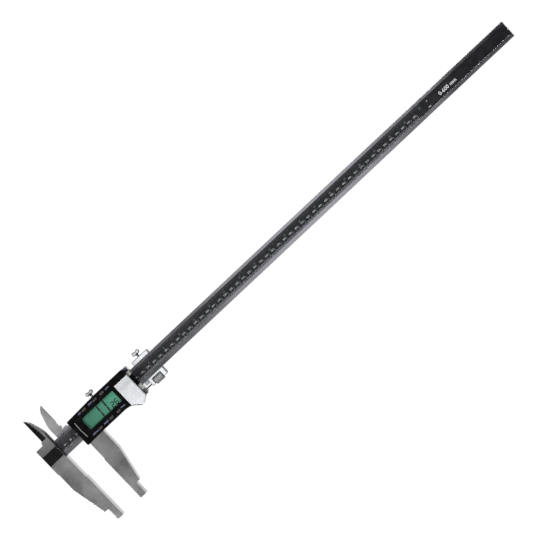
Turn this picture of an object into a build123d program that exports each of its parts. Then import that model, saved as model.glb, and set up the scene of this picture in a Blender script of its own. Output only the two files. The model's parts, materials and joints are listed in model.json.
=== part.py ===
from build123d import *
import math
import os

os.makedirs("parts", exist_ok=True)

# Long jaw digital caliper, lying on its flat back with the display up. Millimetres.
# X runs along the beam from the fixed jaw, Y across it towards the small inside
# jaws, Z up out of the display. The origin is on the flat back of the fixed jaw,
# at the middle of its head, under the centre line of the beam.

# Beam and scale
beam_width = 24.0
beam_thickness = 6.0
beam_chamfer = 0.5
scale_width = 15.2
scale_offset = 0.7
scale_end_land = 1.2
grating_thickness = 0.4
film_thickness = 0.2

# End stop under the far end of the beam
stop_length = 10.0
stop_width = 18.0
stop_setback = 2.5
stop_corner = 1.5
stop_screw_radius = 1.5
stop_screw_head = 2.7
stop_screw_depth = 5.5
stop_screw_row = 5.0

# Long outside jaws, sizes from the measuring face and from the lower beam edge
back_wall = 2.0
front_wall = 2.0
head_width = 24.2
head_rise = 5.2
head_drop = 10.5
jaw_depth = 100.0
jaw_width = 23.4
jaw_taper_start = 36.5
shoulder_width = 14.1
nib_length = 17.6
nib_width = 10.0
nib_crown_radius = 7.7
shoulder_fillet = 1.5
face_relief = 1.0
relief_length = 34.0

# Small inside jaws, crossing each other in half the thickness
knife_setback = 12.0
blade_width = 12.6
blade_bevel = 8.4
blade_back_chamfer = 2.2
blade_foot = 9.2
blade_reach = 43.0
blade_split_gap = 0.15
blade_root_relief = 0.9
blade_root_relief_length = 11.0
blade_foot_ramp = 1.4

# Opening at rest, the widest opening, and the beam left beyond it
opening = 29.9
max_opening = 600.0
end_margin = 26.1

# Slider body
slider_length = 96.9
slider_drop = 4.4
slider_rise = 7.4
slider_rise_left = 5.4
slide_gap = 0.05
gib_thickness = 1.5
upper_lip = 4.7
lower_lip = 4.1
jaw_arm_rise = 4.5
jaw_arm_neck_rise = 2.2
jaw_arm_length = 6.9
jaw_arm_step = 0.8
jaw_arm_root = 11.0
jaw_arm_notch = 1.1
gib_side_gap = 0.15
gib_end_gap = 2.0

# Display case, along the slider from the movable measuring face
case_start = 0.2
case_setback = 3.7
case_left_top = 18.2
case_top = 20.0
case_top_share = 0.484
case_left_bottom = 20.2
case_waist = 19.4
case_waist_share = 0.3
case_corner = 1.6
case_top_corner = 2.6
case_base_thickness = 1.2
case_height = 10.0
case_wall = 1.5
case_front_wall = 1.8
case_edge = 0.8
thumb_shoulder = 23.8
thumb_tip = 29.2
thumb_tip_flat = 2.8
thumb_tip_shift = 0.9
thumb_left_drop = 21.5
thumb_left_inset = 0.5
thumb_rim = 1.3
thumb_rim_gap = 0.2
sweep_length = 11.1
sweep_shift = 0.8
sweep_drop = 0.6
tab_length = 5.0
tab_gap = 0.3
trim_width = 0.8
trim_depth = 0.5
trim_proud = 0.15
trim_points = [(7.2, 11.0), (6.6, -0.6), (7.5, -12.0)]

# Display, keys and battery
lcd_start = 15.4
lcd_end_margin = 4.7
lcd_width = 17.1
lcd_glass_border = 1.8
lcd_glass_thickness = 2.2
lens_gap = 0.05
strip_width = 1.8
board_thickness = 1.2
board_wall_gap = 0.3
sensor_thickness = 1.6
sensor_air = 0.4
sensor_side_gap = 0.4
sensor_start = 3.0
sensor_end_gap = 1.0
connector_start = 30.0
connector_length = 6.0
connector_width = 8.0
key_column_shares = (0.215, 0.56, 0.788)
key_top_row = 15.3
key_bottom_row = 14.8
key_length = 6.6
key_width = 3.2
key_flange = 0.6
key_flange_thickness = 0.7
key_proud = 0.7
key_edge = 0.35
key_clearance = 0.1
key_travel = 0.4
key_stem_radius = 1.1
dome_radius = 2.2
dome_height = 0.3
battery_radius = 10.0
battery_height = 3.2
battery_shift = 0.35
battery_drop = 3.3
battery_clearance = 0.15
spring_thickness = 0.4
spring_length = 14.0
spring_width = 4.0
clip_thickness = 0.5
clip_width = 6.0
clip_drop = 0.4

# Battery shelf, and the cover that slides along two slots in it
cover_length = 21.1
cover_top = 11.1
cover_gap = 0.1
cover_proud = 0.3
cover_wall = 1.2
cover_edge = 0.6
shelf_depth = 2.8
shelf_thickness = 1.2
divider_inset = 3.5
rail_top_row = 9.6
rail_bottom_row = 15.6
rail_width = 1.0
rail_gap = 0.15
rail_start = 3.0
rail_end = 3.0
foot_width = 2.2
foot_height = 0.7
foot_gap = 0.15

# Fasteners
rivet_radius = 2.0
rivet_column = 6.5
rivet_top_row = 3.0
rivet_bottom_row = 5.0
plate_length = 22.4
plate_width = 14.8
plate_shift = 1.0
plate_thickness = 0.6
case_screw_radius = 1.0
case_screw_head = 2.0
case_screw_engagement = 4.4
case_screw_start = 11.0
case_screw_setback = 27.9
boss_radius = 2.2
gib_screw_radius = 1.5
gib_screw_depth = 4.2
gib_screw_start = 22.0
gib_screw_setback = 14.9
slot_width = 0.6
slot_depth = 0.8

# Thumb screws with two-lobed heads
lock_share = 0.43
lock_rise = 0.5
lock_bore_radius = 1.5
lock_clearance = 0.05
lock_tip_gap = 0.05
lock_neck = 3.0
lock_collar = 1.1
lock_collar_height = 2.2
head_lobe_radius = 2.5
head_lobe_spread = 2.8
head_thickness = 3.2
head_waist = 3.0
head_edge = 0.8

# Fine adjustment
carriage_gap = 8.4
carriage_length = 24.6
carriage_drop = 10.2
carriage_rise = 5.0
carriage_lip = 0.7
carriage_gib_thickness = 1.3
carriage_corner = 1.2
carriage_edge = 0.8
carriage_lip_edge = 0.8
carriage_lock_x = 11.6
carriage_neck = 3.1
carriage_arm = 5.8
carriage_arm_root = 2.0
carriage_arm_drop = 4.5
carriage_arm_inset = 2.4
carriage_arm_gap = 0.2
window_start = 4.8
window_length = 14.2
window_wall = 1.9
feed_drop = 7.3
feed_height = 5.6
feed_radius = 1.0
feed_end_inset = 1.0
lug_length = 8.9
lug_drop = 3.3
lug_floor = 0.4
lug_roof = 1.8
anchor_inset = 3.0
anchor_radius = 1.0
anchor_head_radius = 1.6
anchor_head_height = 1.3
nut_length = 12.4
nut_radius = 5.2
nut_hub_radius = 2.6
nut_end_gap = 0.05
nut_bore_gap = 0.04
nut_flutes = 28
flute_width = 0.56
feed_hole_gap = 0.08

# How far a cutting shape runs past the face it cuts through
past = 1.0

# Values that follow from the ones above
half_beam = beam_width / 2
beam_z0 = back_wall
beam_z1 = back_wall + beam_thickness
jaw_thickness = beam_z1 + front_wall
mid_z = jaw_thickness / 2
face_x = head_width / 2
head_left = face_x - head_width
beam_reach = max_opening + slider_length + carriage_gap + carriage_length + end_margin
beam_end = face_x + beam_reach
tip_y = -half_beam - jaw_depth
nib_top_y = tip_y + nib_length
film_y0 = scale_offset - scale_width / 2
film_y1 = scale_offset + scale_width / 2
film_z = beam_z1 - film_thickness
grating_z = film_z - grating_thickness
blade_foot_y = half_beam + blade_foot
slider_x = face_x + opening
carriage_x = slider_x + slider_length + carriage_gap
slide_z0 = beam_z0 - slide_gap
slide_z1 = beam_z1 + slide_gap
case_z0 = jaw_thickness
case_z1 = case_z0 + case_base_thickness
case_front = jaw_thickness + case_height
case_ceiling = case_front - case_front_wall
case_end = slider_length - case_setback
case_top_run = case_top_share * case_end
case_waist_start = case_waist_share * case_end
cover_start = case_end - cover_length
case_waist_end = cover_start + thumb_left_inset - sweep_length
lcd_end = cover_start - lcd_end_margin
key_columns = [lcd_start + share * (lcd_end - lcd_start) for share in key_column_shares]
battery_x = cover_start + cover_length / 2 - battery_shift
lock_x = lock_share * slider_length
gib_screw_columns = (gib_screw_start, slider_length - gib_screw_setback)
lip_top_y = half_beam - upper_lip
lip_bottom_y = lower_lip - half_beam
board_top = case_z1 + board_thickness
dome_top = board_top + dome_height


def block(x0, x1, y0, y1, z0, z1):
    """A rectangular block between two corners."""
    return Pos((x0 + x1) / 2, (y0 + y1) / 2, (z0 + z1) / 2) * Box(x1 - x0, y1 - y0, z1 - z0)


def plate(points, z0, z1):
    """A flat plate with a straight-sided outline."""
    face = make_face(Polyline(*points, close=True))
    return Pos(0, 0, z0) * extrude(face, z1 - z0)


def pin_z(x, y, z0, z1, radius):
    """A round pin that stands along Z."""
    return Pos(x, y, (z0 + z1) / 2) * Cylinder(radius, z1 - z0)


def pin_y(x, z, y0, y1, radius):
    """A round pin that lies along Y."""
    return Pos(x, (y0 + y1) / 2, z) * Rot(90, 0, 0) * Cylinder(radius, y1 - y0)


def pin_x(y, z, x0, x1, radius):
    """A round pin that lies along X."""
    return Pos((x0 + x1) / 2, y, z) * Rot(0, 90, 0) * Cylinder(radius, x1 - x0)


def save(shape, name):
    """Write one node."""
    export_step(shape, "parts/" + name + ".step")


def on_slider(shape):
    """Place a shape drawn from the movable measuring face."""
    return Pos(slider_x, 0, 0) * shape


def on_carriage(shape):
    """Place a shape drawn from the near end of the fine-adjustment carriage."""
    return Pos(carriage_x, 0, 0) * shape


# Long jaw, drawn with its measuring face at x = 0 and its body towards +x
def long_jaw(top_y):
    relief_end = -half_beam - relief_length
    outline = [
        (face_relief, top_y),
        (face_relief, relief_end),
        (0, relief_end - face_relief),
        (0, nib_top_y),
        (shoulder_width, nib_top_y),
        (jaw_width, -half_beam - jaw_taper_start),
        (jaw_width, top_y),
    ]
    body = plate(outline, 0, jaw_thickness)
    half = jaw_thickness / 2
    edge = nib_width - nib_crown_radius + math.sqrt(nib_crown_radius**2 - half**2)
    crown = ThreePointArc((edge, 0), (nib_width, half), (edge, jaw_thickness))
    sides = Polyline((edge, jaw_thickness), (0, jaw_thickness), (0, 0), (edge, 0))
    nib_section = Plane.XZ * make_face(crown + sides)
    nib = Pos(0, nib_top_y, 0) * extrude(nib_section, nib_length)
    corner = plate(
        [
            (edge, nib_top_y),
            (edge + shoulder_fillet, nib_top_y),
            (edge, nib_top_y - shoulder_fillet),
        ],
        0,
        jaw_thickness,
    )
    return body + nib + corner


# Knife-edged inside blade, half the thickness of the jaw, lofted from its foot to
# its tip. The knife edge is at x = 0 in the parting plane, the body is towards +x,
# and the bevel and the chamfer of the back are on the outer face. The bevel keeps
# one angle, so the blade thins as it narrows. Each station is the share of the
# length, then the shares of width, bevel and chamfer left there.
blade_stations = [
    (0.0, 1.0, 1.0, 1.0),
    (0.16, 1.0, 1.0, 1.0),
    (0.3, 0.94, 0.93, 0.95),
    (0.52, 0.77, 0.78, 0.75),
    (0.82, 0.51, 0.53, 0.5),
    (0.93, 0.29, 0.3, 0.3),
    (1.0, 0.05, 0.03, 0.05),
]
half_thickness = mid_z - blade_split_gap / 2
front_z = mid_z + blade_split_gap / 2


def knife_blade():
    sections = []
    for along, width_share, bevel_share, chamfer_share in blade_stations:
        width = blade_width * width_share
        bevel = blade_bevel * bevel_share
        back = blade_back_chamfer * chamfer_share
        depth = half_thickness * bevel_share
        corners = [
            (0, 0),
            (width, 0),
            (width, depth - back),
            (width - back, depth),
            (bevel, depth),
        ]
        section = Plane.XZ * make_face(Polyline(*corners, close=True))
        height = blade_foot + (blade_reach - blade_foot) * along
        sections.append(Pos(0, half_beam + height, 0) * section)
    return loft(sections, ruled=True)


# Beam
beam = block(head_left, beam_end, -half_beam, half_beam, beam_z0, beam_z1)
broken_edges = beam.faces().sort_by(Axis.X)[-1].edges() + beam.edges().filter_by(Axis.X)
beam = chamfer(broken_edges, beam_chamfer)
scale_start = face_x - face_relief
scale_stop = beam_end - scale_end_land
beam -= block(scale_start, scale_stop, film_y0, film_y1, grating_z, beam_z1 + past)

rivet_points = [
    (x, y) for x in (-rivet_column, rivet_column) for y in (-rivet_bottom_row, rivet_top_row)
]
for x, y in rivet_points:
    beam -= pin_z(x, y, 0, jaw_thickness, rivet_radius)

stop_x1 = beam_end - stop_setback
stop_x = stop_x1 - stop_length / 2
stop_points = [(stop_x, y) for y in (-stop_screw_row, stop_screw_row)]
for x, y in stop_points:
    beam -= pin_z(x, y, 0, stop_screw_depth, stop_screw_radius)
save(beam, "beam")


# Capacitive grating in the groove of the beam, and the printed scale over it
grating = block(scale_start, scale_stop, film_y0, film_y1, grating_z, film_z)
save(grating, "scale_grating")
film = block(scale_start, scale_stop, film_y0, film_y1, film_z, beam_z1)
save(film, "scale_film")


# End stop under the far end of the beam, which also carries that end level
def countersunk_screw(x, y, z_end, radius, head_radius):
    head = Pos(x, y, (head_radius - radius) / 2) * Cone(head_radius, radius, head_radius - radius)
    return head + pin_z(x, y, 0, z_end, radius)


stop_screws = [
    countersunk_screw(x, y, stop_screw_depth, stop_screw_radius, stop_screw_head)
    for x, y in stop_points
]
end_stop = block(stop_x1 - stop_length, stop_x1, -stop_width / 2, stop_width / 2, 0, beam_z0)
end_stop = fillet(end_stop.edges().filter_by(Axis.Z), stop_corner)
for screw in stop_screws:
    end_stop -= screw
save(end_stop, "end_stop")
save(Compound(stop_screws), "end_stop_screws")


# Fixed jaw: long jaw, head round the end of the beam, and front half blade
head_top_y = half_beam + head_rise
head_right = face_x - knife_setback + blade_width
knife_x = face_x - knife_setback
fixed_jaw = Pos(face_x, 0, 0) * mirror(long_jaw(-half_beam), Plane.YZ)
fixed_jaw += block(
    head_left, face_x - face_relief, -half_beam - head_drop, -half_beam, 0, jaw_thickness
)
fixed_jaw += block(head_left, head_right, -half_beam, half_beam, 0, jaw_thickness)
shoulder = plate(
    [
        (head_left, half_beam),
        (head_right, half_beam),
        (head_right, blade_foot_y),
        (knife_x, blade_foot_y),
        (knife_x - blade_foot_ramp, head_top_y),
        (head_left, head_top_y),
    ],
    front_z,
    jaw_thickness,
)
front_blade = Pos(knife_x, 0, front_z) * knife_blade()
back_chamfer = Plane.XZ * make_face(
    Polyline(
        (head_right - blade_back_chamfer, jaw_thickness),
        (head_right, jaw_thickness - blade_back_chamfer),
        (head_right, jaw_thickness),
        close=True,
    )
)
back_chamfer = Pos(0, blade_foot_y, 0) * extrude(back_chamfer, blade_foot_y + half_beam)
fixed_jaw = fixed_jaw + (shoulder - back_chamfer) + front_blade - back_chamfer
fixed_jaw -= block(
    head_left - past, head_right + past, -half_beam, half_beam, beam_z0, beam_z1
)
plate_x1 = head_left + plate_length
plate_y0 = -plate_width / 2 - plate_shift
plate_y1 = plate_width / 2 - plate_shift
plate_z = jaw_thickness - plate_thickness
fixed_jaw -= block(
    head_left - past, plate_x1, plate_y0, plate_y1, plate_z, jaw_thickness + past
)
for x, y in rivet_points:
    fixed_jaw -= pin_z(x, y, -past, jaw_thickness, rivet_radius)
save(fixed_jaw, "fixed_jaw")

rivets = [pin_z(x, y, 0, plate_z, rivet_radius) for x, y in rivet_points]
save(Compound(rivets), "jaw_rivets")
save(block(head_left, plate_x1, plate_y0, plate_y1, plate_z, jaw_thickness), "jaw_plate")


# Slider and movable jaw in one piece: a channel round the beam, the long jaw under
# it, and the rear half blade on a thin arm that passes behind the fixed jaw
slider_y0 = -half_beam - slider_drop
slider_y1 = half_beam + slider_rise
gib_y0 = half_beam + slide_gap
gib_y1 = gib_y0 + gib_thickness
body_outline = [
    (face_relief, slider_y0),
    (slider_length, slider_y0),
    (slider_length, slider_y1),
    (case_top_run, slider_y1),
    (face_relief, half_beam + slider_rise_left),
]
movable_jaw = plate(body_outline, 0, jaw_thickness)
movable_jaw += long_jaw(slider_y0)
arm_y0 = half_beam + blade_split_gap
arm_left = -knife_setback - blade_width
arm = plate(
    [
        (arm_left, arm_y0),
        (jaw_arm_root, arm_y0),
        (jaw_arm_root, half_beam + jaw_arm_neck_rise),
        (-jaw_arm_length + jaw_arm_step, half_beam + jaw_arm_neck_rise),
        (-jaw_arm_length, half_beam + jaw_arm_rise),
        (-knife_setback, half_beam + jaw_arm_rise),
        (-knife_setback, blade_foot_y),
        (arm_left, blade_foot_y),
    ],
    0,
    half_thickness,
)
rear_blade = Pos(-knife_setback, 0, half_thickness) * Rot(0, 180, 0) * knife_blade()
root_relief_y1 = half_beam + jaw_arm_rise + blade_root_relief_length
root_relief = block(
    -knife_setback - blade_root_relief,
    -knife_setback + past,
    half_beam + jaw_arm_rise,
    root_relief_y1,
    -past,
    mid_z,
)
notch = pin_z(-knife_setback, half_beam + jaw_arm_rise, -past, mid_z, jaw_arm_notch)
slider_far = slider_length + past
movable_jaw = movable_jaw + arm + (rear_blade - root_relief) - notch
movable_jaw -= block(0, slider_far, -half_beam - slide_gap, gib_y1, slide_z0, slide_z1)
movable_jaw -= block(0, slider_far, lip_bottom_y, lip_top_y, slide_z1, jaw_thickness + past)

# Lug under the far end of the slider, which holds the feed screw
feed_y = -half_beam - feed_drop
lug_x0 = slider_length - lug_length
lug_top = feed_height + feed_radius + lug_roof
lug_y0 = feed_y - lug_drop
movable_jaw += block(lug_x0, slider_length, lug_y0, slider_y0, lug_floor, lug_top)
movable_jaw -= pin_x(feed_y, feed_height, lug_x0, slider_far, feed_radius)
anchor_x = slider_length - anchor_inset
movable_jaw -= pin_y(anchor_x, feed_height, lug_y0 - past, feed_y - feed_radius, anchor_radius)

# Screw holes through the two side walls of the slider
upper_screw_y = (gib_y1 + half_beam + slider_rise_left) / 2
lower_screw_y = slider_y0 + slider_drop / 2
case_screw_points = [
    (x, y)
    for y in (upper_screw_y, lower_screw_y)
    for x in (case_screw_start, slider_length - case_screw_setback)
]
case_screw_end = case_z1 + case_screw_engagement
case_screws = [
    countersunk_screw(x, y, case_screw_end, case_screw_radius, case_screw_head)
    for x, y in case_screw_points
]
for screw in case_screws:
    movable_jaw -= screw
for x in gib_screw_columns:
    movable_jaw -= pin_y(x, mid_z, gib_y0, slider_y1 + past, gib_screw_radius)
lock_z = mid_z + lock_rise
movable_jaw -= pin_y(lock_x, lock_z, gib_y0, slider_y1 + past, lock_bore_radius)
save(on_slider(movable_jaw), "movable_jaw")

gib = block(
    face_relief + gib_end_gap,
    slider_length - gib_end_gap,
    gib_y0,
    gib_y1,
    slide_z0 + gib_side_gap,
    slide_z1 - gib_side_gap,
)
save(on_slider(gib), "slider_gib")

screw_top = gib_y1 + gib_screw_depth
slot_reach = gib_screw_radius + past
gib_screws = []
for x in gib_screw_columns:
    gib_screw = pin_y(x, mid_z, gib_y1, screw_top, gib_screw_radius)
    slot = block(
        x - slot_reach,
        x + slot_reach,
        screw_top - slot_depth,
        screw_top + past,
        mid_z - slot_width / 2,
        mid_z + slot_width / 2,
    )
    gib_screws.append(gib_screw - slot)
save(on_slider(Compound(gib_screws)), "gib_screws")

save(on_slider(Compound(case_screws)), "case_screws")


# Outline of the display case, with the pointed thumb grip at its lower right
def case_outline():
    tip_x = (cover_start + case_end) / 2 + thumb_tip_shift
    points = [
        (case_waist_end, -case_waist),
        (case_waist_start, -case_waist),
        (case_start, -case_left_bottom),
        (case_start, case_left_top),
        (case_top_run, case_top),
        (case_end, case_top),
        (case_end, -thumb_shoulder),
        (tip_x + thumb_tip_flat / 2, -thumb_tip),
        (tip_x - thumb_tip_flat / 2, -thumb_tip),
        (cover_start + thumb_left_inset, -thumb_left_drop),
    ]
    sweep_x = (case_waist_end + cover_start) / 2 + sweep_shift
    sweep_arc = ThreePointArc(points[-1], (sweep_x, -case_waist - sweep_drop), points[0])
    face = make_face(Polyline(*points) + sweep_arc)
    left = face.vertices().group_by(Axis.X)[0]
    face = fillet(left, case_corner)
    right = face.vertices().group_by(Axis.X)[-1].sort_by(Axis.Y)[-1]
    return fillet(right, case_top_corner)


def cover_outline(rim):
    """Part of the outline that the cover fills, right of a rim along the thumb grip."""
    keep = Pos((cover_start + case_end) / 2, (cover_top - thumb_tip) / 2)
    inside = case_outline() & (Pos(rim, 0) * case_outline())
    return inside & (keep * Rectangle(cover_length, cover_top + thumb_tip))


outline = case_outline()
inner_outline = offset(outline, -case_wall)
board_outline = offset(outline, -case_wall - board_wall_gap)


def case_layer(face, z0, z1):
    return Pos(0, 0, z0) * extrude(face, z1 - z0)


# Rear plate of the case, with the tab that closes the gap between the lips
case_base = case_layer(outline, case_z0, case_z1)
case_base += block(
    slider_length - tab_length,
    slider_length - tab_gap,
    lip_bottom_y + tab_gap,
    lip_top_y - tab_gap,
    beam_z1 + tab_gap,
    case_z1,
)
case_base -= block(
    connector_start,
    connector_start + connector_length,
    -connector_width / 2,
    connector_width / 2,
    case_z0 - past,
    case_z1 + past,
)
for x, y in case_screw_points:
    case_base -= pin_z(x, y, case_z0 - past, case_z1 + past, case_screw_radius)
save(on_slider(case_base), "case_base")


# Boards: the sensor close over the scale, the main board above it
sensor = block(
    sensor_start,
    slider_length - tab_length - sensor_end_gap,
    lip_bottom_y + sensor_side_gap,
    lip_top_y - sensor_side_gap,
    beam_z1 + sensor_air,
    beam_z1 + sensor_air + sensor_thickness,
)
save(on_slider(sensor), "sensor_board")
connector = block(
    connector_start,
    connector_start + connector_length,
    -connector_width / 2,
    connector_width / 2,
    beam_z1 + sensor_air + sensor_thickness,
    case_z1,
)
save(on_slider(connector), "board_connector")
main_board = case_layer(board_outline, case_z1, board_top)
for x, y in case_screw_points:
    main_board -= pin_z(x, y, case_z1 - past, board_top + past, boss_radius + board_wall_gap)
save(on_slider(main_board), "main_board")


# Front shell of the case
shelf_z1 = case_front - shelf_depth
shelf_z0 = shelf_z1 - shelf_thickness
shell = case_layer(outline, case_z1, case_front)
shell = chamfer(shell.faces().sort_by(Axis.Z)[-1].edges(), case_edge)
shell -= case_layer(inner_outline, case_z1, case_ceiling)
shelf = case_layer(cover_outline(thumb_rim) & inner_outline, shelf_z0, shelf_z1)
shell += shelf
shell -= case_layer(cover_outline(thumb_rim), shelf_z1, case_front + past)
well_radius = battery_radius + battery_clearance
shell -= pin_z(battery_x, -battery_drop, board_top, shelf_z1 + past, well_radius)
shell += block(
    cover_start - case_wall,
    cover_start,
    -thumb_left_drop + divider_inset,
    case_top - case_wall,
    shelf_z0,
    case_ceiling,
)
shell -= block(
    lcd_start,
    lcd_end,
    -lcd_width / 2,
    lcd_width / 2,
    case_ceiling - past,
    case_front + past,
)
for x, y in case_screw_points:
    boss = pin_z(x, y, case_z1, case_ceiling, boss_radius)
    shell += boss - pin_z(x, y, case_z1 - past, case_screw_end, case_screw_radius)

key_places = [(x, y) for y in (key_top_row, -key_bottom_row) for x in key_columns]


def key_layer(x, y, grow, z0, z1):
    face = SlotOverall(key_length + 2 * grow, key_width + 2 * grow)
    return Pos(x, y, z0) * extrude(face, z1 - z0)


for x, y in key_places:
    shell -= key_layer(x, y, key_clearance, case_ceiling - past, case_front + past)

# Two slots in the battery shelf that guide the feet of the cover
foot_z1 = shelf_z0 - foot_gap
foot_z0 = foot_z1 - foot_height
rail_x0 = cover_start + rail_start
rail_x1 = case_end - rail_end
case_far = case_end + past
for y in (rail_top_row, -rail_bottom_row):
    half = rail_width / 2 + rail_gap
    shell -= block(
        rail_x0 - rail_gap, case_far, y - half, y + half, shelf_z0 - past, shelf_z1 + past
    )
    half = foot_width / 2 + rail_gap
    shell -= block(
        case_end - 2 * case_wall, case_far, y - half, y + half, foot_z0 - rail_gap, shelf_z0
    )

# Groove for the bent trim line at the left of the display
def trim_line(z0, z1):
    half = trim_width / 2
    left = [(x - half, y) for x, y in trim_points]
    right = [(x + half, y) for x, y in reversed(trim_points)]
    return plate(left + right, z0, z1)


shell -= trim_line(case_front - trim_depth, case_front + past)
save(on_slider(shell), "display_housing")
save(on_slider(trim_line(case_front - trim_depth, case_front + trim_proud)), "trim_line")


# Display glass behind the window, its lens, and the two rubber connector strips
glass_z0 = case_ceiling - lcd_glass_thickness
glass = block(
    lcd_start - lcd_glass_border,
    lcd_end + lcd_glass_border,
    -lcd_width / 2 - lcd_glass_border,
    lcd_width / 2 + lcd_glass_border,
    glass_z0,
    case_ceiling,
)
save(on_slider(glass), "lcd_glass")
lens = block(
    lcd_start + lens_gap,
    lcd_end - lens_gap,
    -lcd_width / 2 + lens_gap,
    lcd_width / 2 - lens_gap,
    case_ceiling,
    case_front,
)
save(on_slider(lens), "lcd_lens")
strips = []
for side in (-1, 1):
    strip_y = side * (lcd_width + lcd_glass_border) / 2
    strips.append(
        block(
            lcd_start,
            lcd_end,
            strip_y - strip_width / 2,
            strip_y + strip_width / 2,
            board_top,
            glass_z0,
        )
    )
save(on_slider(Compound(strips)), "lcd_connector_strips")


# Keys: a capped stem over a snap dome on the board
key_flange_z1 = case_ceiling - key_clearance
key_flange_z0 = key_flange_z1 - key_flange_thickness
stem_z0 = dome_top + key_travel + key_clearance
key_names = (
    "power_key",
    "zero_key",
    "unit_key",
    "absolute_key",
    "preset_key",
    "hold_key",
)
for name, (x, y) in zip(key_names, key_places):
    cap = key_layer(x, y, 0, key_flange_z0, case_front + key_proud)
    cap = chamfer(cap.faces().sort_by(Axis.Z)[-1].edges(), key_edge)
    flange = key_layer(x, y, key_flange, key_flange_z0, key_flange_z1)
    stem = pin_z(x, y, stem_z0, key_flange_z0, key_stem_radius)
    save(on_slider(cap + flange + stem), name)

domes = [pin_z(x, y, board_top, dome_top, dome_radius) for x, y in key_places]
save(on_slider(Compound(domes)), "key_domes")


# Battery, its two contacts, and the sliding cover
battery_z0 = board_top + spring_thickness
battery_z1 = battery_z0 + battery_height
battery = pin_z(battery_x, -battery_drop, battery_z0, battery_z1, battery_radius)
save(on_slider(battery), "battery")
spring = block(
    battery_x - spring_length / 2,
    battery_x + spring_length / 2,
    -battery_drop - spring_width / 2,
    -battery_drop + spring_width / 2,
    board_top,
    battery_z0,
)
save(on_slider(spring), "battery_spring")
clip_x1 = battery_x - battery_radius
clip = block(
    clip_x1 - clip_thickness,
    clip_x1,
    -battery_drop - clip_width / 2,
    -battery_drop + clip_width / 2,
    board_top,
    battery_z1 - clip_drop,
)
save(on_slider(clip), "battery_clip")

cover_z0 = shelf_z1 + cover_gap
cover_z1 = case_front + cover_proud
cover_face = cover_outline(thumb_rim + thumb_rim_gap) & (
    Pos(cover_start + cover_gap + cover_length / 2, (cover_top - cover_gap - thumb_tip) / 2)
    * Rectangle(cover_length, cover_top - cover_gap + thumb_tip)
)
cover = case_layer(cover_face, cover_z0, cover_z1)
cover = chamfer(cover.faces().sort_by(Axis.Z)[-1].edges(), cover_edge)
cover_under = cover_z1 - cover_wall
cover -= case_layer(offset(cover_face, -cover_wall), cover_z0, cover_under)
for y in (rail_top_row, -rail_bottom_row):
    half = rail_width / 2
    cover += block(rail_x0, rail_x1, y - half, y + half, foot_z0, cover_under)
    half = foot_width / 2
    cover += block(rail_x0, rail_x1, y - half, y + half, foot_z0, foot_z1)
save(on_slider(cover), "battery_cover")


# Thumb screw with a two-lobed head, drawn along Y from its tip at y = 0
def thumb_screw(reach, neck):
    radius = lock_bore_radius - lock_clearance
    centre = reach + neck + head_lobe_radius
    face = Pos(0, centre) * Rectangle(2 * head_lobe_spread, head_waist)
    for side in (-1, 1):
        face += Pos(side * head_lobe_spread, centre) * Circle(head_lobe_radius)
    head = Pos(0, 0, -head_thickness / 2) * extrude(face, head_thickness)
    head = chamfer(head.faces().filter_by(Axis.Z).edges(), head_edge)
    shank = pin_y(0, 0, 0, centre, radius)
    collar_y = centre - head_waist / 2 - lock_collar_height / 2
    collar = Cone(radius + lock_collar, radius, lock_collar_height)
    return head + shank + Pos(0, collar_y, 0) * Rot(90, 0, 0) * collar


lock_reach = case_top - gib_y1 - lock_tip_gap
lock_screw = Pos(lock_x, gib_y1 + lock_tip_gap, lock_z) * thumb_screw(lock_reach, lock_neck)
save(on_slider(lock_screw), "lock_screw")


# Feed screw and the screw that clamps it in the lug
nut_x0 = window_start + (window_length - nut_length) / 2
feed_reach = slider_length + carriage_gap + carriage_length - feed_end_inset
feed_screw = pin_x(feed_y, feed_height, lug_x0, feed_reach, feed_radius)
save(on_slider(feed_screw), "feed_screw")
anchor_screw = pin_y(anchor_x, feed_height, lug_y0, feed_y - feed_radius, anchor_radius)
anchor_screw += pin_y(
    anchor_x, feed_height, lug_y0 - anchor_head_height, lug_y0, anchor_head_radius
)
save(on_slider(anchor_screw), "anchor_screw")


# Fine-adjustment carriage, a channel round the beam with a window for the nut
carriage_y0 = -half_beam - carriage_drop
carriage_y1 = half_beam + carriage_rise
carriage_gib_y1 = gib_y0 + carriage_gib_thickness
window_y1 = -half_beam - window_wall
window_end = window_start + window_length
carriage = block(0, carriage_length, carriage_y0, carriage_y1, 0, jaw_thickness)
carriage = fillet(carriage.edges().filter_by(Axis.Z), carriage_corner)
front_edges = carriage.faces().sort_by(Axis.Z)[-1].edges().sort_by(Axis.Y)
carriage = chamfer(front_edges[0], carriage_edge)
carriage_far = carriage_length + past
arm_y1 = -half_beam - carriage_arm_gap
carriage += block(
    -carriage_arm,
    carriage_arm_root,
    arm_y1 - carriage_arm_drop,
    arm_y1,
    carriage_arm_inset,
    jaw_thickness - carriage_arm_inset,
)
carriage -= block(
    -past, carriage_far, -half_beam - slide_gap, carriage_gib_y1, slide_z0, slide_z1
)
carriage -= block(
    -past,
    carriage_far,
    carriage_lip - half_beam,
    half_beam - carriage_lip,
    slide_z1,
    jaw_thickness + past,
)
for side in (-1, 1):
    lip_y = side * (half_beam - carriage_lip)
    lip_edge = Plane.YZ * make_face(
        Polyline(
            (lip_y, jaw_thickness - carriage_lip_edge),
            (lip_y + side * carriage_lip_edge, jaw_thickness),
            (lip_y, jaw_thickness),
            close=True,
        )
    )
    carriage -= Pos(-past, 0, 0) * extrude(lip_edge, carriage_far + past)
carriage -= block(
    window_start, window_end, carriage_y0 - past, window_y1, -past, jaw_thickness + past
)
carriage -= pin_x(feed_y, feed_height, -past, carriage_far, feed_radius + feed_hole_gap)
carriage -= pin_y(carriage_lock_x, lock_z, gib_y0, carriage_y1 + past, lock_bore_radius)
save(on_carriage(carriage), "adjusting_carriage")

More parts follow.
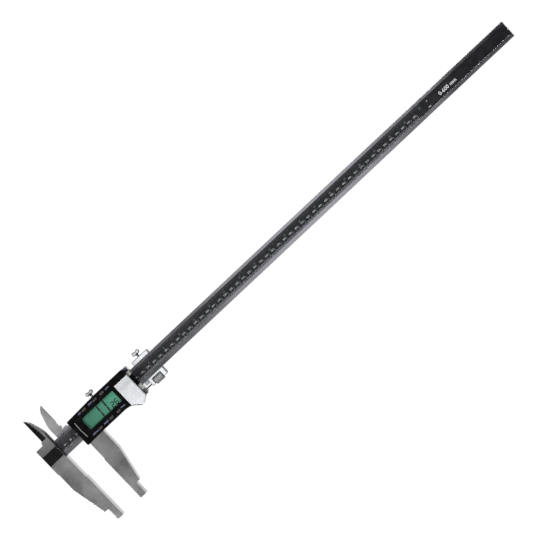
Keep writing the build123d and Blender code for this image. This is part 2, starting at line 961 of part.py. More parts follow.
carriage_gib = block(
    gib_end_gap,
    carriage_length - gib_end_gap,
    gib_y0,
    carriage_gib_y1,
    slide_z0 + gib_side_gap,
    slide_z1 - gib_side_gap,
)
save(on_carriage(carriage_gib), "carriage_gib")

carriage_lock = Pos(carriage_lock_x, carriage_gib_y1 + lock_tip_gap, lock_z) * thumb_screw(
    carriage_y1 - carriage_gib_y1 - lock_tip_gap, carriage_neck
)
save(on_carriage(carriage_lock), "carriage_lock_screw")


# Knurled nut held in the window
nut_face = Circle(nut_radius)
flute = Pos(nut_radius, 0) * Rot(0, 0, 45) * Rectangle(flute_width, flute_width)
for flute_number in range(nut_flutes):
    nut_face -= Rot(0, 0, 360 / nut_flutes * flute_number) * flute
nut = Pos(nut_x0, feed_y, feed_height) * Rot(0, 90, 0) * extrude(nut_face, nut_length)
nut += pin_x(
    feed_y, feed_height, window_start + nut_end_gap, window_end - nut_end_gap, nut_hub_radius
)
nut -= pin_x(feed_y, feed_height, -past, carriage_far, feed_radius + nut_bore_gap)
save(on_carriage(nut), "adjusting_nut")
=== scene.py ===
import json
import math
import bmesh
import bpy
from mathutils import Matrix, Vector


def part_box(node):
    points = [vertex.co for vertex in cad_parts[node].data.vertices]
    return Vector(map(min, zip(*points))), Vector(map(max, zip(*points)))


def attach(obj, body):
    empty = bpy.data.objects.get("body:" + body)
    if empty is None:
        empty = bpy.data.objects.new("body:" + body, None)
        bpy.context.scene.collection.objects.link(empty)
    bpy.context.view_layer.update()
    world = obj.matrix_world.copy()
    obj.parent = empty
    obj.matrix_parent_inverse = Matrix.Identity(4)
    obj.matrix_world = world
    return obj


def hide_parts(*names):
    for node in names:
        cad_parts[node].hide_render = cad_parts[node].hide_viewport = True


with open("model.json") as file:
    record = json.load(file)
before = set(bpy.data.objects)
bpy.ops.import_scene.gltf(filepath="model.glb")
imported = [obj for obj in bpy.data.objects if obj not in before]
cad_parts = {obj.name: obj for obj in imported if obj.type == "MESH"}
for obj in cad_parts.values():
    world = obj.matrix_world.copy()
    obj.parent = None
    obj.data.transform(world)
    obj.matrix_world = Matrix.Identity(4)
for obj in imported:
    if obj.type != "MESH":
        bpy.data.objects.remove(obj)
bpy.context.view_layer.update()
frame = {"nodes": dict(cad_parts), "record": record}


# Camera, table and light. The caliper lies on its flat back on a white table under
# broad soft light, and the camera looks down from above the middle of the beam.
view_turn = Matrix.Rotation(math.radians(-2.045), 3, "X")
view_turn = view_turn @ Matrix.Rotation(math.radians(-0.356), 3, "Y")
view_turn = view_turn @ Matrix.Rotation(math.radians(-43.182), 3, "Z")
view_place = (0.3429, 0.0273, 1.058)
focal_px = 853.3
picture_px = 533
camera_lens = bpy.data.cameras.new("camera")
camera_lens.sensor_width = 36.0
camera_lens.lens = focal_px / picture_px * camera_lens.sensor_width
camera_lens.clip_end = 20.0
camera = bpy.data.objects.new("camera", camera_lens)
camera.matrix_world = Matrix.Translation(view_place) @ view_turn.to_4x4()
bpy.context.collection.objects.link(camera)
bpy.context.scene.camera = camera
bpy.context.scene.view_settings.view_transform = "Standard"


def linear(hex_code):
    """Linear colour of an sRGB hex value."""
    parts = [int(hex_code[i:i + 2], 16) / 255 for i in (1, 3, 5)]
    return [p / 12.92 if p <= 0.04045 else ((p + 0.055) / 1.055) ** 2.4 for p in parts] + [1.0]


def add_node(material, kind, inputs=None, **settings):
    """Adds a shader node with its settings, and its inputs as values or links."""
    item = material.node_tree.nodes.new(kind)
    for name, value in settings.items():
        setattr(item, name, value)
    for socket, value in (inputs or {}).items():
        if isinstance(value, bpy.types.NodeSocket):
            material.node_tree.links.new(value, item.inputs[socket])
        else:
            item.inputs[socket].default_value = value
    return item


def finish_named(name, **values):
    """A new finish, with its Principled shader and plain socket values."""
    material = bpy.data.materials.new(name)
    material.use_nodes = True
    shader = material.node_tree.nodes["Principled BSDF"]
    for socket, value in values.items():
        shader.inputs[socket.replace("_", " ")].default_value = value
    return material, shader


table_glass, table_shader = finish_named("backlit_opal_table", Roughness=0.9)
table_shader.inputs["Base Color"].default_value = linear("#050505")
table_shader.inputs["Specular IOR Level"].default_value = 0.0
table_shader.inputs["Emission Color"].default_value = linear("#ffffff")
table_shader.inputs["Emission Strength"].default_value = 1.03
table_half = 4.0
table_middle = 0.38
table_mesh = bpy.data.meshes.new("table")
table_bm = bmesh.new()
bmesh.ops.create_grid(table_bm, x_segments=1, y_segments=1, size=table_half)
bmesh.ops.translate(table_bm, vec=(table_middle, 0, 0), verts=table_bm.verts)
table_bm.to_mesh(table_mesh)
table_bm.free()
table_mesh.materials.append(table_glass)
table = bpy.data.objects.new("table", table_mesh)
bpy.context.collection.objects.link(table)

room = bpy.data.worlds.new("soft_room")
room.use_nodes = True
sky_direction = add_node(room, "ShaderNodeTexCoord")
sky_height = add_node(room, "ShaderNodeSeparateXYZ", {"Vector": sky_direction.outputs["Generated"]})
sky_light = add_node(room, "ShaderNodeValToRGB", {"Fac": sky_height.outputs["Z"]})
sky_light.color_ramp.elements[0].position = 0.45
sky_light.color_ramp.elements[0].color = (0.05, 0.05, 0.055, 1)
sky_light.color_ramp.elements[1].position = 0.85
sky_light.color_ramp.elements[1].color = (0.56, 0.56, 0.58, 1)
sky_side = add_node(
    room,
    "ShaderNodeMapRange",
    {"Value": sky_height.outputs["X"], "From Min": -0.5, "From Max": 0.5},
)
sky_pool = add_node(room, "ShaderNodeValToRGB", {"Fac": sky_side.outputs["Result"]})
sky_pool.color_ramp.interpolation = "EASE"
sky_pool.color_ramp.elements[0].position = 0.0
sky_pool.color_ramp.elements[0].color = (0.16, 0.16, 0.16, 1)
sky_pool.color_ramp.elements[1].position = 1.0
sky_pool.color_ramp.elements[1].color = (0.03, 0.03, 0.03, 1)
for pool_place, pool_level in (
    (0.36, 0.16),
    (0.44, 0.45),
    (0.51, 1.5),
    (0.6, 1.9),
    (0.68, 1.1),
    (0.76, 0.1),
    (0.8, 0.03),
):
    pool_stop = sky_pool.color_ramp.elements.new(pool_place)
    pool_stop.color = (pool_level, pool_level, pool_level, 1)
sky_mix = add_node(
    room,
    "ShaderNodeVectorMath",
    {0: sky_light.outputs["Color"], 1: sky_pool.outputs["Color"]},
    operation="MULTIPLY",
)
room_background = room.node_tree.nodes["Background"]
room.node_tree.links.new(sky_mix.outputs["Vector"], room_background.inputs["Color"])
bpy.context.scene.world = room
for lamp_name, tilt, heading, power, spread in (
    ("key_softbox", 56, -65, 3.3, 30),
    ("fill_softbox", 60, 150, 2.1, 30),
):
    lamp_data = bpy.data.lights.new(lamp_name, "SUN")
    lamp_data.energy = power
    lamp_data.angle = math.radians(spread)
    lamp = bpy.data.objects.new(lamp_name, lamp_data)
    lamp.rotation_euler = (math.radians(tilt), 0, math.radians(heading))
    bpy.context.collection.objects.link(lamp)


# Beam: a flat bar of stainless steel, ground along its length, with a shallow groove
# for the scale. Fine grinding lines run along X and broaden its reflections.
def dress(node_name, material):
    """Gives a carried-over part its finish."""
    mesh = frame["nodes"][node_name].data
    mesh.materials.clear()
    mesh.materials.append(material)


def ground_steel(name, dark, light, roughness, grain, bump_height):
    """Ground steel: grain is the size in mm of its lines along X, Y and Z."""
    cloud_size = 35
    material, shader = finish_named(name, Metallic=1.0)
    place = add_node(material, "ShaderNodeTexCoord")
    lines = add_node(
        material,
        "ShaderNodeMapping",
        {"Vector": place.outputs["Object"], "Scale": [1000 / size for size in grain]},
    )
    streaks = add_node(
        material,
        "ShaderNodeTexNoise",
        {"Vector": lines.outputs["Vector"], "Scale": 1.0, "Detail": 4.0, "Roughness": 0.6},
    )
    clouds = add_node(
        material,
        "ShaderNodeTexNoise",
        {"Vector": place.outputs["Object"], "Scale": 1000 / cloud_size, "Detail": 3.0},
    )
    both = add_node(
        material,
        "ShaderNodeMix",
        {"Factor": 0.55, "A": streaks.outputs["Fac"], "B": clouds.outputs["Fac"]},
        data_type="FLOAT",
    )
    tone = add_node(material, "ShaderNodeValToRGB", {"Fac": both.outputs["Result"]})
    tone.color_ramp.elements[0].position = 0.36
    tone.color_ramp.elements[0].color = linear(dark)
    tone.color_ramp.elements[1].position = 0.64
    tone.color_ramp.elements[1].color = linear(light)
    polish = add_node(
        material,
        "ShaderNodeMapRange",
        {
            "Value": both.outputs["Result"],
            "From Min": 0.35,
            "From Max": 0.65,
            "To Min": roughness - 0.05,
            "To Max": roughness + 0.07,
        },
    )
    worn_edge = add_node(material, "ShaderNodeBevel", {"Radius": 0.00025}, samples=4)
    relief = add_node(
        material,
        "ShaderNodeBump",
        {
            "Height": streaks.outputs["Fac"],
            "Distance": bump_height / 1000,
            "Strength": 0.5,
            "Normal": worn_edge.outputs["Normal"],
        },
    )
    links = material.node_tree.links
    links.new(tone.outputs["Color"], shader.inputs["Base Color"])
    links.new(polish.outputs["Result"], shader.inputs["Roughness"])
    links.new(relief.outputs["Normal"], shader.inputs["Normal"])
    return material


beam_grain = (9.0, 0.35, 0.35)
beam_steel = ground_steel("ground_stainless_beam", "#a9a9ae", "#cbcbcf", 0.24, beam_grain, 0.02)
dress("beam", beam_steel)

# Grating: the etched copper pattern under the film that the sensor reads, on a thin
# glass-fibre strip bonded into the groove. It is hidden under the film.
def mottled(name, dark, light, patch, roughness, relief=0.0, edge=0.3, **values):
    """A finish whose tone and gloss drift a little. Patch, relief and edge are in mm."""
    material, shader = finish_named(name, **values)
    place = add_node(material, "ShaderNodeTexCoord")
    drift = add_node(
        material,
        "ShaderNodeTexNoise",
        {"Vector": place.outputs["Object"], "Scale": 1000 / patch, "Detail": 3.0},
    )
    tone = add_node(material, "ShaderNodeValToRGB", {"Fac": drift.outputs["Fac"]})
    tone.color_ramp.elements[0].position = 0.36
    tone.color_ramp.elements[0].color = linear(dark)
    tone.color_ramp.elements[1].position = 0.64
    tone.color_ramp.elements[1].color = linear(light)
    gloss = add_node(
        material,
        "ShaderNodeMapRange",
        {
            "Value": drift.outputs["Fac"],
            "From Min": 0.35,
            "From Max": 0.65,
            "To Min": roughness * 0.88,
            "To Max": roughness * 1.15,
        },
    )
    soft_edge = add_node(material, "ShaderNodeBevel", {"Radius": edge / 1000}, samples=4)
    skin = add_node(
        material,
        "ShaderNodeBump",
        {
            "Height": drift.outputs["Fac"],
            "Distance": relief / 1000,
            "Strength": 0.5,
            "Normal": soft_edge.outputs["Normal"],
        },
    )
    links = material.node_tree.links
    links.new(tone.outputs["Color"], shader.inputs["Base Color"])
    links.new(gloss.outputs["Result"], shader.inputs["Roughness"])
    links.new(skin.outputs["Normal"], shader.inputs["Normal"])
    return material


def fade_along(material, axis, start, end, stops):
    """Multiplies a finish's tone by a ramp from start to end along X, Y or Z, in metres."""
    shader = material.node_tree.nodes["Principled BSDF"]
    tone = shader.inputs["Base Color"].links[0].from_socket
    place = add_node(material, "ShaderNodeTexCoord")
    axes = add_node(material, "ShaderNodeSeparateXYZ", {"Vector": place.outputs["Object"]})
    share = add_node(
        material,
        "ShaderNodeMapRange",
        {"Value": axes.outputs[axis], "From Min": start, "From Max": end},
    )
    ramp = add_node(material, "ShaderNodeValToRGB", {"Fac": share.outputs["Result"]})
    while len(ramp.color_ramp.elements) < len(stops):
        ramp.color_ramp.elements.new(0.5)
    for element, (position, level) in zip(ramp.color_ramp.elements, stops):
        element.position = position
        element.color = (level, level, level, 1)
    faded = add_node(
        material, "ShaderNodeVectorMath", {0: tone, 1: ramp.outputs["Color"]}, operation="MULTIPLY"
    )
    material.node_tree.links.new(faded.outputs["Vector"], shader.inputs["Base Color"])


board_green = mottled("glass_fibre_board", "#173d22", "#235a33", 1.2, 0.45)
dress("scale_grating", board_green)

# Scale film: a printed polyester strip laid over the grating, flush with the rails.
# It is a dark slate grey with a faint satin mottle, and blacker past the last figure.
film_fade = (0.640, 0.700)
film_dark = mottled("printed_polyester_film", "#111216", "#191a1e", 6.0, 0.42, 0.01)
fade_along(film_dark, "X", *film_fade, ((0.0, 1.0), (1.0, 0.45)))
dress("scale_film", film_dark)

# Graduations: ink printed on the film, pale millimetres along the lower edge and grey
# sixteenths of an inch along the upper one. Zero is the fixed measuring face.
measuring_faces = {mount["name"]: mount["pos_m"] for mount in frame["record"]["mounts"]}
zero_x = measuring_faces["fixed_measuring_face"][0]
film_low, film_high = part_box("scale_film")
ink_lift = 0.00001
ink_z = film_high[2] + ink_lift
scale_bm = bmesh.new()
inch_bm = bmesh.new()


def ink_line(bm, x, y0, y1, width, z):
    """One printed line across the beam."""
    made = bmesh.ops.create_grid(bm, x_segments=1, y_segments=1, size=0.5)
    bmesh.ops.scale(bm, vec=(width, y1 - y0, 1), verts=made["verts"])
    bmesh.ops.translate(bm, vec=(x, (y0 + y1) / 2, z), verts=made["verts"])


# Each row of ticks: the count they fall on, their length and their width, in metres.
metric_ticks = ((10, 0.0068, 0.00013), (5, 0.0036, 0.00019), (1, 0.0027, 0.00019))
inch_ticks = ((8, 0.0049, 0.0001), (4, 0.0043, 0.0001), (2, 0.0037, 0.0001), (1, 0.003, 0.0001))
scale_centimetres = 60
scale_inches = 24
inch_length = 0.0254
for millimetre in range(1, scale_centimetres * 10 + 1):
    length, width = next(row[1:] for row in metric_ticks if millimetre % row[0] == 0)
    tick_x = zero_x + millimetre / 1000
    ink_line(scale_bm, tick_x, film_low[1], film_low[1] + length, width, ink_z)
for sixteenth in range(1, scale_inches * 16 + 1):
    length, width = next(row[1:] for row in inch_ticks if sixteenth % row[0] == 0)
    tick_x = zero_x + sixteenth * inch_length / 16
    ink_line(inch_bm, tick_x, film_high[1] - length, film_high[1], width, ink_z)


def lettering(bm, words, height, x, y, z):
    """Adds flat words, centred on x and y, to a mesh."""
    capital_share = 0.7
    curve = bpy.data.curves.new("words", "FONT")
    curve.body = words
    curve.size = height / capital_share
    curve.align_x = "CENTER"
    curve.align_y = "CENTER"
    curve.resolution_u = 3
    holder = bpy.data.objects.new("words", curve)
    flat = bpy.data.meshes.new_from_object(holder)
    before = len(bm.verts)
    bm.from_mesh(flat)
    bm.verts.ensure_lookup_table()
    bmesh.ops.translate(bm, vec=(x, y, z), verts=bm.verts[before:])
    bpy.data.objects.remove(holder)
    bpy.data.curves.remove(curve)
    bpy.data.meshes.remove(flat)


def piece_from(name, bm, material, body):
    """Turns a finished mesh into a piece that rides on a body."""
    mesh = bpy.data.meshes.new(name)
    bm.to_mesh(mesh)
    bm.free()
    mesh.materials.append(material)
    made = bpy.data.objects.new(name, mesh)
    bpy.context.collection.objects.link(made)
    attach(made, body)
    return made


metric_height, metric_left, metric_y = 0.0022, 0.0036, -0.0007
inch_height, inch_left, inch_y = 0.0021, 0.0016, 0.0026
for centimetre in range(1, scale_centimetres + 1):
    numeral_x = zero_x + centimetre / 100 - metric_left
    lettering(scale_bm, str(centimetre * 10), metric_height, numeral_x, metric_y, ink_z)
for inch in range(1, scale_inches + 1):
    numeral_x = zero_x + inch * inch_length - inch_left
    lettering(inch_bm, str(inch), inch_height, numeral_x, inch_y, ink_z)
scale_ink = mottled("pale_scale_ink", "#b6b7bd", "#cacbd1", 2.5, 0.5)
piece_from("millimetre_scale", scale_bm, scale_ink, "beam")
inch_ink = mottled("grey_scale_ink", "#787980", "#8a8b92", 2.5, 0.5)
piece_from("inch_scale", inch_bm, inch_ink, "beam")

# Unit marks and range at the free end of the film, printed in white ink. They say
# what the two scales measure, and how far.
range_bm = bmesh.new()
for words, height, mark_x, mark_y in (
    ("in", 0.0018, 0.6209, 0.0038),
    ("mm", 0.0018, 0.6195, -0.0040),
    ("0-600 mm", 0.0048, 0.6520, -0.0010),
):
    lettering(range_bm, words, height, zero_x + mark_x, mark_y, ink_z)
white_ink = mottled("white_scale_ink", "#eeeef0", "#fafafb", 2.5, 0.5)
piece_from("range_marks", range_bm, white_ink, "beam")

# End stop: a small steel plate and two countersunk screws under the free end, which
# stop the slider and hold that end of the beam level.
dress("end_stop", beam_steel)
turned_grain = (0.6, 0.6, 0.2)
screw_steel = ground_steel("turned_bright_screws", "#c3c4c6", "#dcdde0", 0.3, turned_grain, 0.01)
dress("end_stop_screws", screw_steel)

# Fixed jaw: stainless steel, hardened and ground to a satin face, riveted to the
# beam. Its grinding lines run across the jaw and the bevel of its blade is polished.
jaw_grain = (6.0, 0.5, 0.5)
jaw_steel = ground_steel("satin_ground_jaw_steel", "#aeadae", "#cccbca", 0.29, jaw_grain, 0.03)
dress("fixed_jaw", jaw_steel)
bevel_grain = (0.3, 4.0, 0.3)
bevel_steel = ground_steel("polished_knife_bevel", "#807d85", "#98959d", 0.12, bevel_grain, 0.01)
fixed_mesh = frame["nodes"]["fixed_jaw"].data
fixed_mesh.materials.append(bevel_steel)
steepest, flattest, least_lean = 0.7, 0.97, -0.2
for face in fixed_mesh.polygons:
    if steepest < face.normal.z < flattest and face.normal.x < least_lean:
        face.material_index = 1
dress("jaw_rivets", screw_steel)

# Badge plate: a thin black plate set flush in the head of the fixed jaw. It is bare.
plate_black = mottled(
    "black_badge_plate", "#020203", "#07080a", 2.5, 0.4, 0.01, Specular_IOR_Level=0.2
)
dress("jaw_plate", plate_black)

# Slider with the movable jaw: one piece of the same ground steel, machined to a
# channel round the beam, with a bronze gib pressed against the beam by two screws.
# The strip of its face past the case carries painted light: pale painted highlights on its lips,
# a black painted shadow band and a grey-blue painted reflection along its upper edge. It is also
# less polished than the rest.
case_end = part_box("display_housing")[1][0]
slider_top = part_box("movable_jaw")[1][2]
beam_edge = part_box("beam")[1][1]
end_half = 0.018
slider_steel = ground_steel(
    "satin_ground_slider_steel", "#aaa9aa", "#c8c7c6", 0.29, jaw_grain, 0.03
)
slider_shader = slider_steel.node_tree.nodes["Principled BSDF"]
slider_place = add_node(slider_steel, "ShaderNodeTexCoord")
slider_axes = add_node(
    slider_steel, "ShaderNodeSeparateXYZ", {"Vector": slider_place.outputs["Object"]}
)
end_zone = add_node(
    slider_steel,
    "ShaderNodeMapRange",
    {
        "Value": slider_axes.outputs["X"],
        "From Min": case_end - 0.0005,
        "From Max": case_end - 0.0001,
    },
)
end_skin = add_node(
    slider_steel,
    "ShaderNodeMapRange",
    {
        "Value": slider_axes.outputs["Z"],
        "From Min": slider_top - 0.0006,
        "From Max": slider_top - 0.0002,
    },
)
end_face = add_node(
    slider_steel,
    "ShaderNodeMath",
    {0: end_zone.outputs["Result"], 1: end_skin.outputs["Result"]},
    operation="MULTIPLY",
)
end_height = add_node(
    slider_steel,
    "ShaderNodeMapRange",
    {"Value": slider_axes.outputs["Y"], "From Min": -end_half, "From Max": end_half},
)
# Painted light on the end strip, by height: pale painted highlights, a black painted shadow band
# and a grey-blue painted reflection.
end_painted_light = add_node(slider_steel, "ShaderNodeValToRGB", {"Fac": end_height.outputs["Result"]})
end_painted_light.color_ramp.elements[0].color = linear("#eef0ec")
end_painted_light.color_ramp.elements[1].color = linear("#878c9c")
for tone_place, tone_colour in ((0.84, "#e6e6e2"), (0.87, "#15161a"), (0.93, "#2a2c34")):
    tone_mark = end_painted_light.color_ramp.elements.new(tone_place)
    tone_mark.color = linear(tone_colour)
end_painted_light_mix = add_node(
    slider_steel,
    "ShaderNodeMix",
    {
        0: end_face.outputs["Value"],
        6: slider_shader.inputs["Base Color"].links[0].from_socket,
        7: end_painted_light.outputs["Color"],
    },
    data_type="RGBA",
)
end_gloss_mix = add_node(
    slider_steel,
    "ShaderNodeMix",
    {
        0: end_face.outputs["Value"],
        2: slider_shader.inputs["Roughness"].links[0].from_socket,
        3: 0.5,
    },
    data_type="FLOAT",
)
end_metal_mix = add_node(
    slider_steel,
    "ShaderNodeMapRange",
    {"Value": end_face.outputs["Value"], "To Min": 1.0, "To Max": 0.35},
)
slider_links = slider_steel.node_tree.links
slider_links.new(end_metal_mix.outputs["Result"], slider_shader.inputs["Metallic"])
slider_links.new(end_painted_light_mix.outputs[2], slider_shader.inputs["Base Color"])
slider_links.new(end_gloss_mix.outputs[0], slider_shader.inputs["Roughness"])
dress("movable_jaw", slider_steel)
blade_grain = (0.5, 5.0, 0.5)
blade_top = slider_top / 2 + 0.0002
blade_steel = ground_steel("lapped_blade_flat", "#a9a9ab", "#c4c4c4", 0.4, blade_grain, 0.02)
slider_mesh = frame["nodes"]["movable_jaw"].data
slider_mesh.materials.append(blade_steel)
for face in slider_mesh.polygons:
    if face.normal.z > 0.9 and face.center.z < blade_top and face.center.y > beam_edge:
        face.material_index = 1
gib_bronze = mottled("rolled_bronze_strip", "#a3814e", "#bd9a62", 2.0, 0.35, 0.01, Metallic=1.0)
dress("slider_gib", gib_bronze)
dress("gib_screws", screw_steel)
dress("case_screws", screw_steel)

# Display case: black moulded ABS with a gloss face, a rear plate and a front shell.
# The gloss is slightly uneven, as a moulding is.
case_black = mottled(
    "gloss_black_abs", "#030304", "#08080a", 9.0, 0.28, 0.03, Specular_IOR_Level=0.2
)
dress("case_base", case_black)
dress("display_housing", case_black)

# Boards inside the case: the sensor board over the scale, its plug, the main board
# and the snap domes under the keys. They are sealed in.
dress("sensor_board", board_green)
dress("main_board", board_green)
dress("board_connector", case_black)
dress("key_domes", gib_bronze)

# Trim line: a thin pale strip inlaid in the face of the case, bent at its middle.
trim_grey = mottled("pale_trim_strip", "#8f9092", "#a0a1a3", 3.0, 0.35)
dress("trim_line", trim_grey)

# Display: a sealed liquid-crystal glass with a green-grey reflector behind it. Painted shade
# darkens it towards its left edge, for the shadow of the window's wall. Rubber strips join it to
# the board.
lcd_low, lcd_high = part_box("lcd_glass")
lcd_green = mottled("green_reflective_lcd", "#53a788", "#57ab8c", 12.0, 0.5)
# Painted shade: the display's colour is scaled down towards its left edge.
lcd_left_painted_shade = ((0.0, 0.58), (0.2, 0.64), (0.6, 0.84), (0.85, 1.0))
fade_along(lcd_green, "X", lcd_low[0], lcd_high[0], lcd_left_painted_shade)
dress("lcd_glass", lcd_green)
rubber_grey = mottled("conductive_rubber", "#434348", "#525257", 1.0, 0.8)
dress("lcd_connector_strips", rubber_grey)

# Digits: the dark segments of the display, which show a reading. Two tall strokes,
# two small figures at the lower right and a short dash, flat on the glass.
slider_x = measuring_faces["movable_measuring_face"][0]
segment_lift = 0.00003
segment_z = lcd_high[2] + segment_lift
segment_bm = bmesh.new()


def lcd_bar(bm, x0, y0, x1, y1, width):
    """One pointed segment of the display, from end to end."""
    made = bmesh.ops.create_circle(bm, cap_ends=True, segments=6, radius=1.0)
    bmesh.ops.rotate(bm, matrix=Matrix.Rotation(math.pi / 2, 3, "Z"), verts=made["verts"])
    length = math.hypot(x1 - x0, y1 - y0)
    half_flat = math.cos(math.radians(30))
    bmesh.ops.scale(bm, vec=(length / 2, width / 2 / half_flat, 1), verts=made["verts"])
    for corner in made["verts"]:
        if abs(corner.co.y) > width / 4:
            corner.co.x = math.copysign(length / 2 - width / 3, corner.co.x)
    turn = Matrix.Rotation(math.atan2(y1 - y0, x1 - x0), 3, "Z")
    bmesh.ops.rotate(bm, matrix=turn, verts=made["verts"])
    bmesh.ops.translate(bm, vec=((x0 + x1) / 2, (y0 + y1) / 2, segment_z), verts=made["verts"])


tall_half = 0.0085
tall_stroke = 0.0021
tall_slant = 0.06
for foot_x in (0.0389, 0.0486):
    for y0, y1 in ((-tall_half, -0.0010), (-0.0008, tall_half)):
        x0 = slider_x + foot_x + (y0 + tall_half) * tall_slant
        x1 = slider_x + foot_x + (y1 + tall_half) * tall_slant
        lcd_bar(segment_bm, x0, y0, x1, y1, tall_stroke)
small_foot = -0.0077
small_width = 0.0037
small_half = 0.0032
small_lean = 0.0004
small_stroke = 0.0012
digit_strokes = {
    2: [(0, 2, 1, 2), (1, 2, 1, 1), (0, 1, 1, 1), (0, 1, 0, 0), (0, 0, 1, 0)],
    6: [(0, 2, 1, 2), (0, 2, 0, 1), (0, 1, 1, 1), (0, 1, 0, 0), (1, 1, 1, 0), (0, 0, 1, 0)],
}
for digit, digit_x in ((2, 0.0539), (6, 0.0597)):
    for x0, y0, x1, y1 in digit_strokes[digit]:
        lcd_bar(
            segment_bm,
            slider_x + digit_x + x0 * small_width + y0 * small_lean,
            small_foot + y0 * small_half,
            slider_x + digit_x + x1 * small_width + y1 * small_lean,
            small_foot + y1 * small_half,
            small_stroke,
        )
dash_low, dash_high, dash_y, dash_stroke = 0.0173, 0.0192, -0.0045, 0.0015
lcd_bar(segment_bm, slider_x + dash_low, dash_y, slider_x + dash_high, dash_y, dash_stroke)
segment_dark = mottled("lcd_segment_dark", "#020806", "#07120d", 1.5, 0.5)
piece_from("display_digits", segment_bm, segment_dark, "slider")

# Lens: a flat clear acrylic window over the display, set flush in the case.
lens_clear = mottled("clear_acrylic_lens", "#0b1210", "#0f1714", 20.0, 0.1, Alpha=0.1, IOR=1.49)
dress("lcd_lens", lens_clear)

# Keys: six soft grey keycaps that stand a little out of the case face. The moulded
# elastomer is slightly glossy where fingers touch it.
key_grey = mottled("grey_elastomer_keys", "#37332f", "#4a4541", 1.5, 0.36, 0.02, edge=1.2)
for key in ("power_key", "zero_key", "unit_key", "absolute_key", "preset_key", "hold_key"):
    dress(key, key_grey)

# Key words: lavender ink printed beside the keys, to their left in the first two
# columns and to their right in the third.
word_height = 0.0017
word_lift = 0.00002
word_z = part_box("display_housing")[1][2] + word_lift
word_bm = bmesh.new()
for words, word_x, word_y in (
    ("OFF", 0.0195, 0.0153),
    ("ZERO", 0.0371, 0.0155),
    ("mm/in", 0.0646, 0.0155),
    ("ABS/INC", 0.0183, -0.0151),
    ("PRESET", 0.0360, -0.0147),
    ("HOLD", 0.0639, -0.0141),
):
    lettering(word_bm, words, word_height, slider_x + word_x, word_y, word_z)
word_ink = mottled("lavender_key_ink", "#9094bf", "#a1a5cd", 1.0, 0.5)
piece_from("key_words", word_bm, word_ink, "slider")

# Battery: a coin cell in a nickel can, on a bronze spring with a side clip, under a
# silver ABS cover that slides off towards the free end.
nickel = ground_steel("nickel_cell_can", "#bdbcb6", "#d4d3cd", 0.25, (3.0, 3.0, 3.0), 0.01)
dress("battery", nickel)
dress("battery_spring", gib_bronze)
dress("battery_clip", gib_bronze)
cover_silver = mottled("silver_lacquered_abs", "#ebedf2", "#f6f7fa", 8.0, 0.34, 0.03, Metallic=0.15)
# Painted shade: the cover's colour is darker in a band near its top and lighter towards its tip,
# for how light falls on its face.
cover_shade_span = (0.011, -0.029)
cover_painted_shade = ((0.0, 0.84), (0.22, 0.76), (0.3, 0.86), (1.0, 1.0))
fade_along(cover_silver, "Y", *cover_shade_span, cover_painted_shade)
dress("battery_cover", cover_silver)

# Lock screw: a turned thumb screw with a two-lobed head, plated with nickel. Painted
# shade darkens its broken edges and turned stem, and leaves its flats bright.
def darken_edges(material, radius, level):
    """Paints shade into a finish, except on its flats that face up or down. Radius is in mm."""
    shader = material.node_tree.nodes["Principled BSDF"]
    tone = shader.inputs["Base Color"].links[0].from_socket
    rounded = add_node(material, "ShaderNodeBevel", {"Radius": radius / 1000}, samples=8)
    upright = add_node(
        material,
        "ShaderNodeVectorTransform",
        {"Vector": rounded.outputs["Normal"]},
        vector_type="NORMAL",
        convert_from="WORLD",
        convert_to="OBJECT",
    )
    axes = add_node(material, "ShaderNodeSeparateXYZ", {"Vector": upright.outputs["Vector"]})
    facing = add_node(material, "ShaderNodeMath", {0: axes.outputs["Z"]}, operation="ABSOLUTE")
    share = add_node(
        material,
        "ShaderNodeMapRange",
        {"Value": facing.outputs["Value"], "From Min": 0.88, "From Max": 0.99, "To Min": level},
    )
    # Painted shade: the colour is scaled down wherever the rounded normal leans away from up or
    # down.
    painted_shade = add_node(
        material,
        "ShaderNodeVectorMath",
        {0: tone, "Scale": share.outputs["Result"]},
        operation="SCALE",
    )
    material.node_tree.links.new(painted_shade.outputs["Vector"], shader.inputs["Base Color"])


thumb_nickel = mottled("satin_nickel_plate", "#e9eaec", "#f6f6f7", 1.5, 0.5, 0.01, Metallic=0.6)
darken_edges(thumb_nickel, 0.9, 0.03)
dress("lock_screw", thumb_nickel)

# Fine adjustment: a carriage with a bright blasted face, clamped by its own thumb
# screw, with a bronze gib. A bright steel screw clamps the feed screw in its lug.
carriage_steel = mottled(
    "bead_blasted_carriage", "#e9ebf0", "#f6f7fa", 2.5, 0.6, 0.02, Metallic=0.4
)
# Painted shade darkens the carriage's edges and walls, such as those of the window round the nut.
darken_edges(carriage_steel, 0.6, 0.32)
dress("adjusting_carriage", carriage_steel)
dress("carriage_gib", gib_bronze)
dress("carriage_lock_screw", thumb_nickel)
dress("anchor_screw", screw_steel)

# Feed screw: a steel rod, blackened, with a rolled thread of half a millimetre pitch
# along its whole length. With the carriage clamped, one turn of the nut moves the
# slider by one pitch.
feed_low, feed_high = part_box("feed_screw")
feed_y = (feed_low[1] + feed_high[1]) / 2
feed_z = (feed_low[2] + feed_high[2]) / 2
thread_depth = 0.00028
thread_crest = (feed_high[1] - feed_low[1]) / 2
thread_root = thread_crest - thread_depth
thread_pitch = 0.0005
thread_steps = 20
thread_turns = math.ceil((feed_high[0] - feed_low[0]) / thread_pitch) + 2
feed_bm = bmesh.new()
tooth = [
    feed_bm.verts.new((feed_low[0] - thread_pitch, feed_y, feed_z + thread_root)),
    feed_bm.verts.new((feed_low[0] - thread_pitch / 2, feed_y, feed_z + thread_crest)),
    feed_bm.verts.new((feed_low[0], feed_y, feed_z + thread_root)),
]
tooth_edges = [feed_bm.edges.new(pair) for pair in zip(tooth, tooth[1:])]
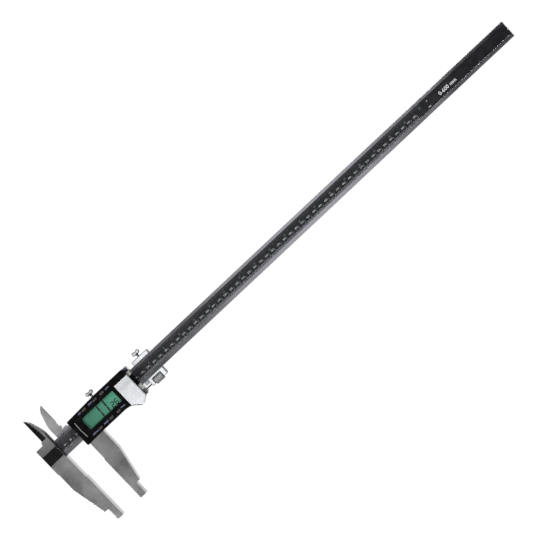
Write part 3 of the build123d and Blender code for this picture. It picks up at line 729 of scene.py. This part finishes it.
bmesh.ops.spin(
    feed_bm,
    geom=tooth + tooth_edges,
    cent=(0, feed_y, feed_z),
    axis=(1, 0, 0),
    dvec=(thread_pitch / thread_steps, 0, 0),
    angle=math.tau * thread_turns,
    steps=thread_steps * thread_turns,
)
merge_distance = 0.000002
end_trim = 0.00001
bmesh.ops.remove_doubles(feed_bm, verts=feed_bm.verts, dist=merge_distance)
for cut_x, outward in ((feed_low[0] + end_trim, -1), (feed_high[0] - end_trim, 1)):
    everything = feed_bm.verts[:] + feed_bm.edges[:] + feed_bm.faces[:]
    bmesh.ops.bisect_plane(
        feed_bm, geom=everything, plane_co=(cut_x, 0, 0), plane_no=(outward, 0, 0), clear_outer=True
    )
bmesh.ops.holes_fill(feed_bm, edges=feed_bm.edges, sides=0)
bmesh.ops.recalc_face_normals(feed_bm, faces=feed_bm.faces)
thread_grain = (0.3, 0.3, 0.3)
oiled_steel = ground_steel(
    "blackened_thread_steel", "#202024", "#36363a", 0.4, thread_grain, 0.01
)
feed_thread = piece_from("threaded_feed_screw", feed_bm, oiled_steel, "slider")
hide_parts("feed_screw")

# Adjusting nut: turned steel with a fine knurl of about half a millimetre, broken
# edges, and a plain hub at each end that bears on the window of the carriage.
nut_low, nut_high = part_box("adjusting_nut")
nut_radius = (nut_high[1] - nut_low[1]) / 2
nut_middle = (nut_low[0] + nut_high[0]) / 2
nut_edge = 0.0006
hub_radius = 0.0026
bore_radius = 0.00104
knurl_half = 0.0062
knurl_land = 0.0005
knurl_ridges = 56
knurl_rows = 22
knurl_depth = 0.00016
knurl_low = nut_middle - knurl_half
knurl_high = nut_middle + knurl_half
first_row = knurl_low + knurl_land
row_step = (knurl_high - knurl_land - first_row) / knurl_rows
nut_section = [
    (nut_low[0], bore_radius),
    (nut_low[0], hub_radius),
    (knurl_low, hub_radius),
    (knurl_low, nut_radius - nut_edge),
]
nut_section += [(first_row + row * row_step, nut_radius) for row in range(knurl_rows + 1)]
nut_section += [
    (knurl_high, nut_radius - nut_edge),
    (knurl_high, hub_radius),
    (nut_high[0], hub_radius),
    (nut_high[0], bore_radius),
]
nut_bm = bmesh.new()
nut_corners = [nut_bm.verts.new((x, feed_y, feed_z + radius)) for x, radius in nut_section]
nut_sides = [nut_bm.edges.new(pair) for pair in zip(nut_corners, nut_corners[1:] + nut_corners[:1])]
bmesh.ops.spin(
    nut_bm,
    geom=nut_corners + nut_sides,
    cent=(0, feed_y, feed_z),
    axis=(1, 0, 0),
    angle=math.tau,
    steps=2 * knurl_ridges,
    use_merge=True,
)
for corner in nut_bm.verts:
    across = Vector((0, corner.co.y - feed_y, corner.co.z - feed_z))
    if across.length > nut_radius - knurl_depth / 2:
        column = round(math.atan2(across.y, across.z) / math.tau * 2 * knurl_ridges)
        row = round((corner.co.x - first_row) / row_step)
        if (column + row) % 2:
            corner.co -= across.normalized() * knurl_depth
bmesh.ops.recalc_face_normals(nut_bm, faces=nut_bm.faces)
nut_steel = mottled("knurled_nut_steel", "#8c8c8e", "#a3a3a5", 1.5, 0.6, 0.01, Metallic=0.5)
# Painted shade: both ends of the nut are darkened, where it sits in the shadow of the carriage's
# window.
nut_end_painted_shade = ((0.04, 0.06), (0.12, 1.0), (0.88, 1.0), (0.96, 0.06))
fade_along(nut_steel, "X", nut_low[0], nut_high[0], nut_end_painted_shade)
knurled_nut = piece_from("knurled_nut", nut_bm, nut_steel, "adjusting_nut")
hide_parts("adjusting_nut")
